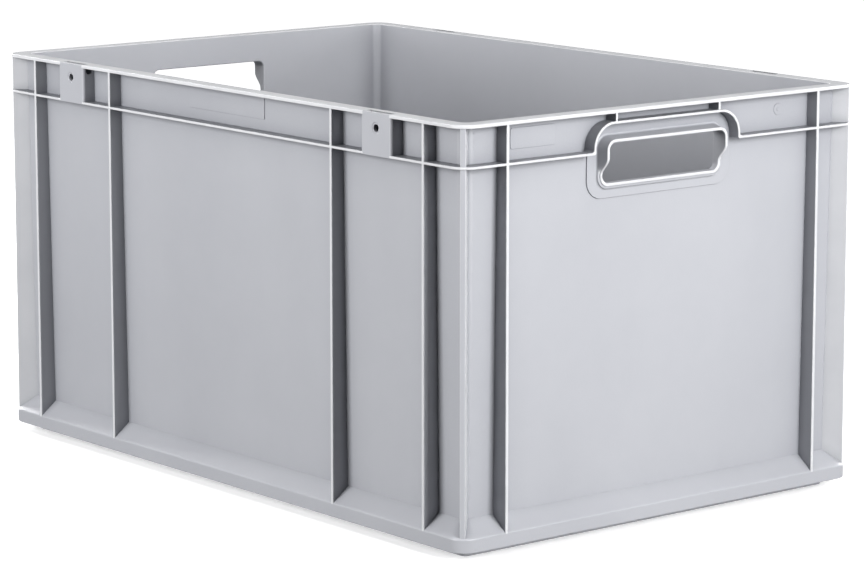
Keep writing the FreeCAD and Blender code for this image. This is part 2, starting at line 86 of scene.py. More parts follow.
RIM_CORNER = 14 * MM        # plan radius of the rims and the skirt
CORE = 20 * MM              # inset of the axis that the wall corners curve around
SMALLEST_CORNER = 1.2 * MM  # plan radius of the corners where the inset comes near CORE
WALL = 2.8 * MM             # wall thickness
UNDER_REACH = 1.5 * MM      # the underside's flat middle starts this far outside CORE
FLOOR_REACH = 5 * MM        # width of the strip of floor that is lofted with the walls
FLOOR_EDGE = 1.2 * MM       # roundings of the shell, from the underside to the floor inside
RIM_ROOT = 0.8 * MM
RIM_LOW_EDGE = 0.5 * MM
RIM_HIGH_EDGE = 0.7 * MM
RIM_INNER_EDGE = 0.6 * MM
FLOOR_FILLET = 3 * MM
LOWER_RIM_EDGE = 0.5 * MM

# ---- how pieces meet ----

TINY_STEP = 0.03 * MM       # keeps two flush faces from lying in the same plane
RIB_OVERLAP = 1.2 * MM      # how far ribs, fins and arches run into what is behind or below them
PLATE_OVERLAP = 1 * MM      # the same for the skirt, sockets, struts and marks
BAND_OVERLAP = 0.8 * MM     # the same for the lower rim and the grip surrounds
HEAD_OVERLAP = 0.6 * MM     # how far uprights run into the top rim
BASE_OVERLAP = 0.5 * MM     # how far the foot and the base ribs run into the floor
BEYOND = 5 * MM             # how far a cutter reaches past what it cuts
JUST_BEYOND = 1 * MM
THROUGH = 40 * MM           # inset of a cutter's inner end, inside every wall

# ---- skirt, foot, ribs and fins ----

SKIRT_CREST = SKIRT_BOX[0].z + 10.5 * MM
SKIRT_THICK = 2.5 * MM
SKIRT_DROP = 3.2 * MM       # thickness of the skirt's slope, measured upright
SKIRT_LOW_EDGE = 0.7 * MM
SKIRT_CREST_EDGE = 2 * MM
SKIRT_INNER_CREST = 1 * MM
SKIRT_INNER_EDGE = 0.5 * MM
FOOT_WIDTH = 14 * MM
FOOT_EDGE = 1.2 * MM
BASE_RIB_EDGE = 1 * MM
BASE_RIB_REACH = 2 * MM     # how far the base ribs run into the foot
RIB_FACE = 2 * TINY_STEP    # inset of the outer face of ribs, arches and the upper lip
RIB_EDGE = 0.55 * MM
FIN_EDGE = 0.6 * MM
FIN_HALF = 2.1 * MM         # half the thickness of a corner fin
FIN_SETBACK = 0.8 * MM      # how far the fin's tip stands behind the rims' corner

# ---- hinge sockets ----

SOCKET_WALL = 2.5 * MM
SOCKET_EDGE = 2.5 * MM
SOCKET_TOP_EDGE = 0.55 * MM
SLOT_LENGTH = 30 * MM
SLOT_WIDTH = 5 * MM
SCREW_HOLE = 2.8 * MM       # radius
SCREW_RECESS = 4.4 * MM     # radius of the shallow recess round the screw hole
RECESS_DEPTH = 0.35 * MM
SCREW_HOLE_Z = TOP - 11.5 * MM
SCREW_PROFILE = (           # (radius, inset) from before the face, down the recess and through the hole
    (SCREW_RECESS + 0.3 * MM, -JUST_BEYOND),
    (SCREW_RECESS + 0.1 * MM, 0),
    (SCREW_RECESS - 0.3 * MM, RECESS_DEPTH),
    (SCREW_HOLE + 0.2 * MM, RECESS_DEPTH),
    (SCREW_HOLE, RECESS_DEPTH + 0.3 * MM),
    (SCREW_HOLE, 2 * SOCKET_WALL),
)
NOTCH_WIDTH = 6.5 * MM
NOTCH_DEPTH = 5.2 * MM
NOTCH_CORNER = 2.6 * MM
NOTCH_SETBACK = 0.5 * MM    # from the inside of the socket's face

# ---- grips ----

TUBE_WALL = 2.6 * MM
GRIP_CORNER = 5.5 * MM
LIP_STEP = 8 * MM           # how far the lower lip stands behind the upper one
LIP_HIGH_Z = 284 * MM       # the lip swings back between these two heights
LIP_LOW_Z = 271 * MM
LIP_EDGE = 0.8 * MM
MOUTH_EDGE = 1.0 * MM
TUBE_TUCK = 0.4 * MM        # the tube's hidden end is this much narrower than the tube
TUBE_HIDDEN = 0.6 * MM      # and lies this far behind the middle of the wall
FIELD_RISE = 1.0 * MM       # how far the raised surround stands out of the wall
FIELD_EDGE = 0.4 * MM
FIELD_MARGIN = 0.2 * MM     # how far the surround runs under the arch
FIELD_LOW_CORNER = 14.5 * MM
FIELD_HIGH_CORNER = 19 * MM
ROOT_SPREAD = 3.4 * MM      # the tube widens towards its root and blends into the surround there
ROOT_BLEND = ((3.4, -0.1), (2.5, 0.15), (1.9, 0.6), (1.6, 1.4))    # (widening, height above it) in mm
ARCH_FOOT = 80 * MM         # half the gap in the lower rim that an arch bridges
ARCH_THICK = 2 * MM
ARCH_CORNER = 19.6 * MM
ARCH_EDGE = 0.5 * MM
ARCH_FOOT_INNER = 1.5 * MM  # roundings where the arch meets the lower rim, below and above
ARCH_FOOT_OUTER = 1.9 * MM
STRUT_HALF = 1 * MM
STRUT_DROP = 0.8 * MM       # how far a strut runs into the arch below it
STRUT_EDGE = 0.4 * MM

# ---- blank marks ----

PLATE_CORNER = 2 * MM
PLATE_RISE = 0.45 * MM
PLATE_EDGE = 0.25 * MM
DATE_MARK = (124 * MM, 305 * MM)                                    # (along the end, height)
DATE_DISCS = (("ring", 4.6 * MM, 0.3 * MM), ("pin", 1.6 * MM, 0.5 * MM))    # (name, radius, rise)
DISC_EDGE = 0.2 * MM
LABEL_LEFT = -49.5 * MM
LABEL_RIGHT = 50 * MM
LABEL_LOW = 298.5 * MM
LABEL_CORNER = 1 * MM
LABEL_RISE = 0.55 * MM
LABEL_EDGE = 0.15 * MM
LABEL_OVERLAP = 0.5 * MM    # how far the label panel runs into the top rim

# ---- mesh resolution ----

CORNER_STEPS = 14           # per corner of the crate
GRIP_CORNER_STEPS = 8       # per corner of a grip hole
GRIP_END_STEPS = 14         # up each end of a grip hole, where the lip bends
EDGE_STEPS = 4              # round the edge of a plate or a lip
CIRCLE_STEP = 10            # degrees
SMALL_ARC = 4 * MM          # arcs of a smaller radius get fewer steps
SHARP_ANGLE = math.radians(38)
MITRE_LIMIT = 0.3

# ---- plastic ----

COLOUR_LOW = (0.344, 0.350, 0.376, 1)
COLOUR_HIGH = (0.372, 0.378, 0.404, 1)
# Paler colour of the outer edges, the rim's top, the fin edges and the lip faces: partly rubbing wear,
# partly painted highlight.
WEAR_AND_HIGHLIGHT_COLOUR = (0.57, 0.575, 0.59, 1)
SPECK_TINT = (0.96, 0.962, 0.968, 1)
# Painted shade: the colour is darkened in recesses, under the rims and between parts, where shade falls.
PAINTED_SHADE_TINT = (0.35, 0.36, 0.38, 1)
PAINTED_SHADE_STRENGTH = 0.85
PAINTED_SHADE_OPENNESS = (0.15, 0.95)         # recesses are darkest and not darkened at these
PAINTED_SHADE_REACH = 9 * MM
SHELL_PAINTED_SHADE_REACH = 32 * MM
WEAR_AND_HIGHLIGHT_OUTLINE = (1.2 * MM, 0.5 * MM)      # the pale wear and painted highlight start and are full this far in from the edge
WEAR_AND_HIGHLIGHT_TOP = (0.8 * MM, 0.3 * MM)
WEAR_AND_HIGHLIGHT_FIN = (0.7 * MM, 0.3 * MM)
WEAR_AND_HIGHLIGHT_LIP = (0.9 * MM, 0.7 * MM)          # behind the lower lip
FIN_WEAR_AND_HIGHLIGHT = 0.5                          # fins get half as much pale wear and painted highlight
LIP_FACING = (0.45, 0.8)                # the pale wear and painted highlight start and are full at this share of facing the end
ROUGHNESS = (0.40, 0.50)
SPECULAR_LEVEL = 0.45
PLASTIC_IOR = 1.49
GRAIN_STRENGTH, GRAIN_DEPTH = 0.12, 0.15 * MM
WAVE_STRENGTH, WAVE_DEPTH = 0.10, 2 * MM

# ---- studio ----

AMBIENT = 0.05
AMBIENT_COLOUR = (0.95, 0.97, 1.0, 1)
LIGHT_AIM = Vector((0, 0, 0.15))
SOFTBOXES = (               # (name, azimuth, elevation, distance, (width, height), watts)
    ("front_softbox", -5, 15, 1.6, (0.75, 0.8), 31),
    ("right_softbox", 93, 15, 1.7, (0.65, 0.85), 40),
    ("rear_softbox", 180, 15, 1.9, (0.9, 0.8), 34),
    ("left_softbox", 270, 15, 1.9, (0.65, 0.85), 34),
    ("overhead_softbox", 0, 87, 2.4, (0.5, 0.6), 22),
    ("underside_softbox", 0, -90, 1.4, (0.5, 0.3), 14),
)
STUDIO_HALF = 14            # half the width of the studio floor
STUDIO_DROP = 0.1 * MM
GLOW_FROM, GLOW_TO = 0.35, 1.3          # the studio floor's own light grows between these distances
GLOW_LOW, GLOW_HIGH = 0.30, 1.0
CAMERA_LENS = 149.4
CAMERA_SHIFT = -0.05
CAMERA_AZIMUTH = 50.86
CAMERA_PITCH = 9.56
CAMERA_PLACE = Vector((2.242, -1.808, 0.657))


# ---- insets and heights ----

def wall_inset(z):
    """Inset of the outside wall face at a height: the walls lean in towards the base."""
    low_z, low = FLOOR_BOX[1].z, FLOOR_BOX[0].y - CAD_LOW.y
    high_z, high = RIM_UNDER, WALL_BOX[0].y - CAD_LOW.y
    return low + (high - low) * (z - low_z) / (high_z - low_z)


def corner_radius(inset, z):
    """Plan radius of the crate's corners: the rim radius outside, concentric curves inside the wall."""
    wall = wall_inset(z)
    if inset < wall:
        return RIM_CORNER + (CORE - wall - RIM_CORNER) * inset / wall
    return max(CORE - inset, SMALLEST_CORNER)


def off_wall(distance):
    """A surface that follows the outside wall face this far behind it, as inset(z)."""
    return lambda z: wall_inset(z) + distance


def upright(inset):
    """An upright surface, as inset(z)."""
    return lambda z: inset


def skirt_slope(inset):
    """Height of the skirt's slope at an inset."""
    return SKIRT_CREST + (SKIRT_TOP - SKIRT_CREST) * inset / wall_inset(SKIRT_TOP)


def lip_inset(z):
    """Inset of the grip tube's lip: it swings back in an S from the upper lip to the lower one."""
    share = min(max((LIP_HIGH_Z - z) / (LIP_HIGH_Z - LIP_LOW_Z), 0), 1)
    swing = share * share * (3 - 2 * share)
    return RIB_FACE + LIP_STEP * swing


# ---- outlines ----

def arc_steps(radius, sweep):
    """How many segments an arc gets."""
    per_quarter = 4 if radius < SMALL_ARC else 14
    return max(3, min(16, round(sweep / math.radians(90) * per_quarter)))


def soften(corners, closed=True):
    """A flat outline from (u, v, radius) corners, each rounded by its radius."""
    count = len(corners)
    points = []
    for i, (u, v, radius) in enumerate(corners):
        here = Vector((u, v))
        if radius <= 0 or (not closed and i in (0, count - 1)):
            points.append(here)
            continue
        before = (Vector(corners[i - 1][:2]) - here).normalized()
        after = (Vector(corners[(i + 1) % count][:2]) - here).normalized()
        half = before.angle(after) / 2
        centre = here + (before + after).normalized() * (radius / math.sin(half))
        start = here + before * (radius / math.tan(half)) - centre
        end = here + after * (radius / math.tan(half)) - centre
        sweep = math.pi - 2 * half
        turn = 1 if start.x * end.y - start.y * end.x > 0 else -1
        steps = arc_steps(radius, sweep)
        for step in range(steps + 1):
            angle = turn * sweep * step / steps
            cosine, sine = math.cos(angle), math.sin(angle)
            points.append(centre + Vector((start.x * cosine - start.y * sine,
                                           start.x * sine + start.y * cosine)))
    return points


def shrink(outline, distance):
    """The outline moved inwards by a distance that is small beside its features."""
    count = len(outline)
    area = sum(a.x * b.y - a.y * b.x for a, b in zip(outline, outline[1:] + outline[:1]))
    turn = 1 if area > 0 else -1
    moved = []
    for i, here in enumerate(outline):
        into = (here - outline[i - 1]).normalized()
        out = (outline[(i + 1) % count] - here).normalized()
        normal_in = Vector((-into.y, into.x)) * turn
        normal_out = Vector((-out.y, out.x)) * turn
        middle = (normal_in + normal_out).normalized()
        moved.append(here + middle * (distance / max(middle.dot(normal_in), MITRE_LIMIT)))
    return moved


def quarter_turn():
    """(1 - cos, 1 - sin) at the steps of a quarter turn, for rounded edges."""
    angles = [math.radians(90 * step / EDGE_STEPS) for step in range(EDGE_STEPS + 1)]
    return [(1 - math.cos(angle), 1 - math.sin(angle)) for angle in angles]


def circle(u, v, radius):
    """A round outline."""
    angles = [math.radians(degrees) for degrees in range(0, 360, CIRCLE_STEP)]
    return [Vector((u + radius * math.cos(a), v + radius * math.sin(a))) for a in angles]


def bar_plan(half, deep, face, edge):
    """Plan of an upright bar as (across, inset), with its two corners at the face rounded."""
    return soften([(-half, deep, 0), (-half, face, edge), (half, face, edge), (half, deep, 0)])


def plan_loop(inset, z):
    """The crate's rounded outline seen from above."""
    radius = corner_radius(inset, z)
    x, y = HALF_X - inset - radius, HALF_Y - inset - radius
    points = []
    for quarter, (sx, sy) in enumerate(((1, 1), (-1, 1), (-1, -1), (1, -1))):
        for step in range(CORNER_STEPS + 1):
            angle = math.radians(90 * (quarter + step / CORNER_STEPS))
            points.append(Vector((sx * x + radius * math.cos(angle), sy * y + radius * math.sin(angle), z)))
    return points


def grip_outline(end_name, offset):
    """The grip hole seen from the end, moved outwards by offset. It always has the same number of points."""
    low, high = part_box(f"{end_name}_grip_tube")
    half = (high.y - low.y) / 2 - TUBE_WALL + offset
    z_low, z_high = low.z + TUBE_WALL - offset, high.z - TUBE_WALL + offset
    radius = GRIP_CORNER + offset
    points = []
    for quarter, (su, sv) in enumerate(((1, 1), (-1, 1), (-1, -1), (1, -1))):
        u = su * (half - radius)
        start_v, end_v = z_low + radius, z_high - radius
        if sv > 0:
            start_v, end_v = end_v, start_v
        for step in range(GRIP_CORNER_STEPS + 1):
            angle = math.radians(90 * (quarter + step / GRIP_CORNER_STEPS))
            points.append(Vector((u + radius * math.cos(angle), start_v + radius * math.sin(angle))))
        if quarter in (1, 3):
            for step in range(1, GRIP_END_STEPS):
                points.append(Vector((su * half, start_v + (end_v - start_v) * step / GRIP_END_STEPS)))
    return points


# ---- meshes ----

def skin(loops, wrap=False, caps=False):
    """A surface through loops that have the same number of points."""
    mesh = bmesh.new()
    rows = [[mesh.verts.new(point) for point in loop] for loop in loops]
    pairs = list(zip(rows, rows[1:]))
    if wrap:
        pairs.append((rows[-1], rows[0]))
    for first, second in pairs:
        for i in range(len(first)):
            j = (i + 1) % len(first)
            mesh.faces.new((first[i], first[j], second[j], second[i]))
    if caps:
        mesh.faces.new(rows[0])
        mesh.faces.new(rows[-1])
    bmesh.ops.recalc_face_normals(mesh, faces=mesh.faces)
    return mesh


def make_object(name, mesh):
    """Links a finished mesh into the scene."""
    data = bpy.data.meshes.new(name)
    mesh.to_mesh(data)
    mesh.free()
    item = bpy.data.objects.new(name, data)
    bpy.context.scene.collection.objects.link(item)
    return item


def carve(item, *cutters):
    """Cuts the cutters out of a piece for good."""
    for cutter in cutters:
        change = item.modifiers.new("carve", "BOOLEAN")
        change.operation = "DIFFERENCE"
        change.solver = "EXACT"
        change.object = cutter
    graph = bpy.context.evaluated_depsgraph_get()
    carved = bpy.data.meshes.new_from_object(item.evaluated_get(graph))
    item.modifiers.clear()
    item.data = carved
    for cutter in cutters:
        bpy.data.objects.remove(cutter)


def add_piece(item, *nodes, wear_and_highlight=None):
    """Gives a finished mesh its shading and material, and sets it in place of its CAD nodes."""
    item.data.shade_smooth()
    item.data.set_sharp_from_angle(angle=SHARP_ANGLE)
    item.data.materials.clear()
    item.data.materials.append(PLASTIC[wear_and_highlight])
    shade = item.modifiers.new("flat_faces_stay_flat", "WEIGHTED_NORMAL")
    shade.keep_sharp = True
    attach(item, BODY)
    if nodes:
        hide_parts(*nodes)


def ring(name, section):
    """A band that runs all round the crate, from a closed section of (inset, height, radius) corners."""
    return make_object(name, skin([plan_loop(p.x, p.y) for p in soften(section)], wrap=True))


def on_side(side):
    """Places (along, height, inset) on a long side of the crate."""
    return lambda u, v, inset: Vector((u, side * (HALF_Y - inset), v))


def on_end(side):
    """Places (along, height, inset) on an end of the crate."""
    return lambda u, v, inset: Vector((side * (HALF_X - inset), u, v))


def slab(name, outline, place, back, front, edge):
    """A plate with this outline whose front edge is rounded. back and front are inset(z)."""
    loops = [[place(p.x, p.y, back(p.y)) for p in outline]]
    for across, rise in quarter_turn():
        inwards = shrink(outline, edge * across)
        loops.append([place(p.x, p.y, front(p.y) + edge * rise) for p in inwards])
    return make_object(name, skin(loops, caps=True))


def block(name, a, b):
    """A plain block between two opposite corners, used only to cut with."""
    low, high = Vector(map(min, a, b)), Vector(map(max, a, b))
    mesh = bmesh.new()
    bmesh.ops.create_cube(mesh, size=1)
    for vert in mesh.verts:
        vert.co = Vector(low[i] if vert.co[i] < 0 else high[i] for i in range(3))
    return make_object(name, mesh)


# ---- material ----

def make_plastic(name, wear_and_highlight=None, reach=PAINTED_SHADE_REACH):
    """Grey moulded polypropylene with fine grain and faint flow clouds.

    wear_and_highlight says where the colour is paler, partly from rubbing wear and partly as a painted
    highlight: "outer" is every edge that stands at the crate's outer outline or on its top, "fin" is both
    edges of a corner fin, and "lip" is every face that looks along the crate. The colour is darker in
    recesses as painted shade, up to reach away from what stands beside them.
    """
    material = bpy.data.materials.new(name)
    material.use_nodes = True
    nodes, links = material.node_tree.nodes, material.node_tree.links
    shader = nodes["Principled BSDF"]
    place = nodes.new("ShaderNodeTexCoord")

    def noise(scale, detail, stretch=(1, 1, 1)):
        mapping = nodes.new("ShaderNodeMapping")
        mapping.inputs["Scale"].default_value = stretch
        links.new(place.outputs["Object"], mapping.inputs["Vector"])
        texture = nodes.new("ShaderNodeTexNoise")
        texture.inputs["Scale"].default_value = scale
        texture.inputs["Detail"].default_value = detail
        links.new(mapping.outputs["Vector"], texture.inputs["Vector"])
        return texture.outputs["Fac"]

    def ramp(source, low, high, from_low=0.3, from_high=0.7):
        node = nodes.new("ShaderNodeMapRange")
        node.inputs["From Min"].default_value = from_low
        node.inputs["From Max"].default_value = from_high
        node.inputs["To Min"].default_value = low
        node.inputs["To Max"].default_value = high
        links.new(source, node.inputs["Value"])
        return node.outputs["Result"]

    def mix(kind, factor, first, second):
        node = nodes.new("ShaderNodeMix")
        node.data_type = "RGBA"
        node.blend_type = kind
        for value, socket in ((factor, node.inputs[0]), (first, node.inputs[6]), (second, node.inputs[7])):
            if isinstance(value, (int, float, tuple)):
                socket.default_value = value
            else:
                links.new(value, socket)
        return node.outputs[2]

    def maths(kind, first, second=None):
        node = nodes.new("ShaderNodeMath")
        node.operation = kind
        for value, socket in ((first, node.inputs[0]), (second, node.inputs[1])):
            if isinstance(value, (int, float)):
                socket.default_value = value
            elif value is not None:
                links.new(value, socket)
        return node.outputs[0]

    def vector_maths(kind, first, second=None):
        node = nodes.new("ShaderNodeVectorMath")
        node.operation = kind
        links.new(first, node.inputs[0])
        if second is not None:
            node.inputs[1].default_value = second
        return node.outputs

    def axis(source, index):
        node = nodes.new("ShaderNodeSeparateXYZ")
        links.new(source, node.inputs[0])
        return node.outputs[index]

    clouds = ramp(noise(6, 3, (1, 1, 0.5)), 0, 1)
    colour = mix("MIX", clouds, COLOUR_LOW, COLOUR_HIGH)
    colour = mix("MULTIPLY", ramp(noise(90, 4), 0.0, 0.35), colour, SPECK_TINT)
    if wear_and_highlight == "outer":
        spread = vector_maths("ABSOLUTE", place.outputs["Object"])[0]
        spread = vector_maths("SUBTRACT", spread, (HALF_X - RIM_CORNER, HALF_Y - RIM_CORNER, 0))[0]
        spread = vector_maths("MAXIMUM", spread, (0, 0, 0))[0]
        spread = vector_maths("MULTIPLY", spread, (1, 1, 0))[0]
        far_out = vector_maths("LENGTH", spread)[1]
        outline = ramp(far_out, 0, 1, *[RIM_CORNER - depth for depth in WEAR_AND_HIGHLIGHT_OUTLINE])
        top = ramp(axis(place.outputs["Object"], 2), 0, 1, *[TOP - depth for depth in WEAR_AND_HIGHLIGHT_TOP])
        wear_and_highlight_mask = maths("MAXIMUM", outline, top)
    elif wear_and_highlight == "fin":
        spread = vector_maths("ABSOLUTE", place.outputs["Object"])[0]
        spread = vector_maths("SUBTRACT", spread, (HALF_X - CORE, HALF_Y - CORE, 0))[0]
        across = maths("ABSOLUTE", maths("SUBTRACT", axis(spread, 0), axis(spread, 1)))
        wear_and_highlight_mask = ramp(across, 0, FIN_WEAR_AND_HIGHLIGHT, *[math.sqrt(2) * (FIN_HALF - depth) for depth in WEAR_AND_HIGHLIGHT_FIN])
    elif wear_and_highlight == "lip":
        shape = nodes.new("ShaderNodeNewGeometry")
        facing = maths("ABSOLUTE", axis(shape.outputs["Normal"], 0))
        far_out = maths("ABSOLUTE", axis(place.outputs["Object"], 0))
        proud = ramp(far_out, 0, 1, *[HALF_X - LIP_STEP - depth for depth in WEAR_AND_HIGHLIGHT_LIP])
        wear_and_highlight_mask = maths("MULTIPLY", ramp(facing, 0, 1, *LIP_FACING), proud)
    # The paler colour is partly rubbing wear and partly a painted highlight on edges, the rim's top, fin
    # edges and lip faces.
    if wear_and_highlight:
        patchy = ramp(noise(35, 4), 0.75, 1)
        colour = mix("MIX", maths("MULTIPLY", wear_and_highlight_mask, patchy), colour, WEAR_AND_HIGHLIGHT_COLOUR)
    # Painted shade: the base colour is darkened where the surface is closed in, in place of shadow in
    # recesses and under the rims.
    painted_shade = nodes.new("ShaderNodeAmbientOcclusion")
    painted_shade.samples = 8
    painted_shade.inputs["Distance"].default_value = reach
    painted_shade_amount = ramp(painted_shade.outputs["AO"], PAINTED_SHADE_STRENGTH, 0, *PAINTED_SHADE_OPENNESS)
    colour = mix("MULTIPLY", painted_shade_amount, colour, PAINTED_SHADE_TINT)
    links.new(colour, shader.inputs["Base Color"])
    links.new(ramp(noise(40, 5), *ROUGHNESS), shader.inputs["Roughness"])
    shader.inputs["Specular IOR Level"].default_value = SPECULAR_LEVEL
    shader.inputs["IOR"].default_value = PLASTIC_IOR
    fine = nodes.new("ShaderNodeBump")
    fine.inputs["Strength"].default_value = GRAIN_STRENGTH
    fine.inputs["Distance"].default_value = GRAIN_DEPTH
    links.new(ramp(noise(700, 2), 0, 1), fine.inputs["Height"])
    broad = nodes.new("ShaderNodeBump")
    broad.inputs["Strength"].default_value = WAVE_STRENGTH
    broad.inputs["Distance"].default_value = WAVE_DEPTH
    links.new(noise(9, 2, (1, 1, 0.4)), broad.inputs["Height"])
    links.new(fine.outputs["Normal"], broad.inputs["Normal"])
    links.new(broad.outputs["Normal"], shader.inputs["Normal"])
    return material


# ---- shell and base ----

def grip_cutter(end_name, side):
    """What the hand hole takes out of a wall. Its edge is hidden inside the grip tube's own wall."""
    outline = grip_outline(end_name, TUBE_WALL / 2)
    place = on_end(side)
    loops = [[place(p.x, p.y, inset) for p in outline] for inset in (-BEYOND, THROUGH)]
    return make_object("grip_cutter", skin(loops, caps=True))


def rim_slot_cutter(side_name, side, end_name):
    """The slot in the top rim behind a hinge socket's face."""
    low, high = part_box(f"hinge_socket_{side_name}_{end_name}")
    middle = (low.x + high.x) / 2
    far = HALF_Y - SOCKET_WALL
    return block("rim_slot_cutter",
                 (middle - SLOT_LENGTH / 2, side * far, RIM_UNDER - JUST_BEYOND),
                 (middle + SLOT_LENGTH / 2, side * (far - SLOT_WIDTH), TOP + JUST_BEYOND))


def make_shell():
    """Floor, walls and top rim as one skin."""
    wall_top, wall_low = wall_inset(RIM_UNDER), wall_inset(FLOOR_BOX[0].z)
    floor_top = FLOOR_BOX[1].z
    inner_low = wall_inset(floor_top) + WALL
    section = [
        (CORE - UNDER_REACH, FLOOR_BOX[0].z, 0),
        (wall_low, FLOOR_BOX[0].z, FLOOR_EDGE),
        (wall_top, RIM_UNDER, RIM_ROOT),
        (TINY_STEP, RIM_UNDER, RIM_LOW_EDGE),
        (TINY_STEP, TOP, RIM_HIGH_EDGE),
        (wall_inset(TOP) + WALL, TOP, RIM_INNER_EDGE),
        (inner_low, floor_top, FLOOR_FILLET),
        (inner_low + FLOOR_REACH, floor_top, 0),
    ]
    loops = [plan_loop(p.x, p.y) for p in soften(section, closed=False)]
    shell = make_object("crate_shell", skin(loops, caps=True))
    cutters = [grip_cutter(name, side) for name, side in ENDS]
    cutters += [rim_slot_cutter(side_name, side, end_name)
                for side_name, side in SIDES for end_name, _ in ENDS]
    carve(shell, *cutters)
    add_piece(shell, "floor_panel", *[f"{name}_wall" for name in ALL_AROUND],
              *[f"top_rim_{name}" for name in ALL_AROUND], wear_and_highlight="shell")


def make_skirt():
    """The hollow skirt around the base."""
    low = SKIRT_BOX[0].z
    back = wall_inset(SKIRT_TOP) + PLATE_OVERLAP
    skirt = ring("base_skirt", [
        (0, low, SKIRT_LOW_EDGE),
        (0, SKIRT_CREST, SKIRT_CREST_EDGE),
        (back, skirt_slope(back), 0),
        (back, skirt_slope(back) - SKIRT_DROP, 0),
        (SKIRT_THICK, skirt_slope(SKIRT_THICK) - SKIRT_DROP, SKIRT_INNER_CREST),
        (SKIRT_THICK, low, SKIRT_INNER_EDGE),
    ])
    add_piece(skirt, *[f"base_skirt_{name}" for name in ALL_AROUND])


def make_foot():
    """The stacking foot and the ribs under the floor."""
    low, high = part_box("stacking_foot_front")
    outer, top = low.y - CAD_LOW.y, high.z + BASE_OVERLAP
    inner = outer + FOOT_WIDTH
    foot = ring("stacking_foot", [(outer, low.z, FOOT_EDGE), (outer, top, 0),
                                  (inner, top, 0), (inner, low.z, FOOT_EDGE)])
    add_piece(foot, *[f"stacking_foot_{name}" for name in ALL_AROUND])
    for name in ("left", "middle", "right"):
        low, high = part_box(f"base_rib_{name}")
        top = high.z + BASE_OVERLAP
        outline = soften([(low.x, low.z, BASE_RIB_EDGE), (high.x, low.z, BASE_RIB_EDGE),
                          (high.x, top, 0), (low.x, top, 0)])
        ends = (low.y - BASE_RIB_REACH, high.y + BASE_RIB_REACH)
        loops = [[Vector((p.x, y, p.y)) for p in outline] for y in ends]
        add_piece(make_object(f"base_rib_bar_{name}", skin(loops, caps=True)), f"base_rib_{name}")


def make_lower_rim():
    """The lower rim, which stops at the grip arches."""
    low, high = LOWER_Z
    back = wall_inset(low) + BAND_OVERLAP
    rim = ring("lower_rim", [(TINY_STEP, low, LOWER_RIM_EDGE), (TINY_STEP, high, LOWER_RIM_EDGE),
                             (back, high, 0), (back, low, 0)])
    gaps = [block("grip_gap", (side * (HALF_X + BEYOND), -ARCH_FOOT, low - BEYOND),
                  (side * (HALF_X - THROUGH), ARCH_FOOT, high + BEYOND)) for _, side in ENDS]
    carve(rim, *gaps)
    nodes = ["lower_rim_front", "lower_rim_rear"]
    nodes += [f"lower_rim_{end}_{side}" for end, _ in ENDS for side, _ in SIDES]
    add_piece(rim, *nodes, wear_and_highlight="shell")


# ---- uprights ----

def make_ribs():
    """Upright ribs from the skirt to the top rim."""
    places = [(f"{side}_rib_{at}", on_side(sign), 0) for side, sign in SIDES
              for at in ("left_outer", "left_inner", "right_inner", "right_outer")]
    places += [(f"{end}_rib_{at}", on_end(sign), 1) for end, sign in ENDS for at in ("front", "rear")]
    for node, place, axis in places:
        low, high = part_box(node)
        middle, half = (low[axis] + high[axis]) / 2, (high[axis] - low[axis]) / 2
        foot = bar_plan(half, wall_inset(SKIRT_TOP) + RIB_OVERLAP, RIB_FACE, RIB_EDGE)
        head = bar_plan(half, wall_inset(RIM_UNDER) + RIB_OVERLAP, RIB_FACE, RIB_EDGE)
        loops = [[place(middle + p.x, skirt_slope(p.y) - RIB_OVERLAP, p.y) for p in foot],
                 [place(middle + p.x, RIM_UNDER + HEAD_OVERLAP, p.y) for p in head]]
        add_piece(make_object(f"{node}_plate", skin(loops, caps=True)), node, wear_and_highlight="outer")


def make_fins():
    """One upright fin on the diagonal of each corner, rounded at its tip."""
    crest_reach = (CORE - RIM_CORNER) * math.sqrt(2) + RIM_CORNER
    wall_reach = CORE - wall_inset(SKIRT_TOP)
    slope = (SKIRT_TOP - SKIRT_CREST) / (crest_reach - wall_reach)
    tip = crest_reach - FIN_SETBACK
    foot = [(p, SKIRT_CREST + (crest_reach - p.y) * slope - RIB_OVERLAP)
            for p in bar_plan(FIN_HALF, wall_reach - RIB_OVERLAP, tip, FIN_EDGE)]
    head = [(p, RIM_UNDER + HEAD_OVERLAP)
            for p in bar_plan(FIN_HALF, CORE - wall_inset(RIM_UNDER) - RIB_OVERLAP, tip, FIN_EDGE)]
    for end, sx in ENDS:
        for side, sy in SIDES:
            node = f"corner_fin_{side}_{end}"
            core = Vector((sx * (HALF_X - CORE), sy * (HALF_Y - CORE), 0))
            outwards = Vector((sx, sy, 0)).normalized()
            across = Vector((-outwards.y, outwards.x, 0))
            loops = [[core + across * p.x + outwards * p.y + Vector((0, 0, z)) for p, z in level]
                     for level in (foot, head)]
            add_piece(make_object(f"{node}_plate", skin(loops, caps=True)), node, wear_and_highlight="fin")


# ---- hinge sockets ----

def make_sockets():
    """Hollow hinge sockets. The face runs up to the top of the rim, in front of the slot."""
    for side_name, side in SIDES:
        for end_name, end in ENDS:
            node = f"hinge_socket_{side_name}_{end_name}"
            low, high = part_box(node)
            middle, half = (low.x + high.x) / 2, (high.x - low.x) / 2
            back = wall_inset(high.z) + PLATE_OVERLAP
            item = make_object(f"{node}_box", socket_mesh(on_side(side), middle, half, back))
            carve(item, hole_cutter(side, middle), notch_cutter(side, end, middle, half))
            add_piece(item, node)


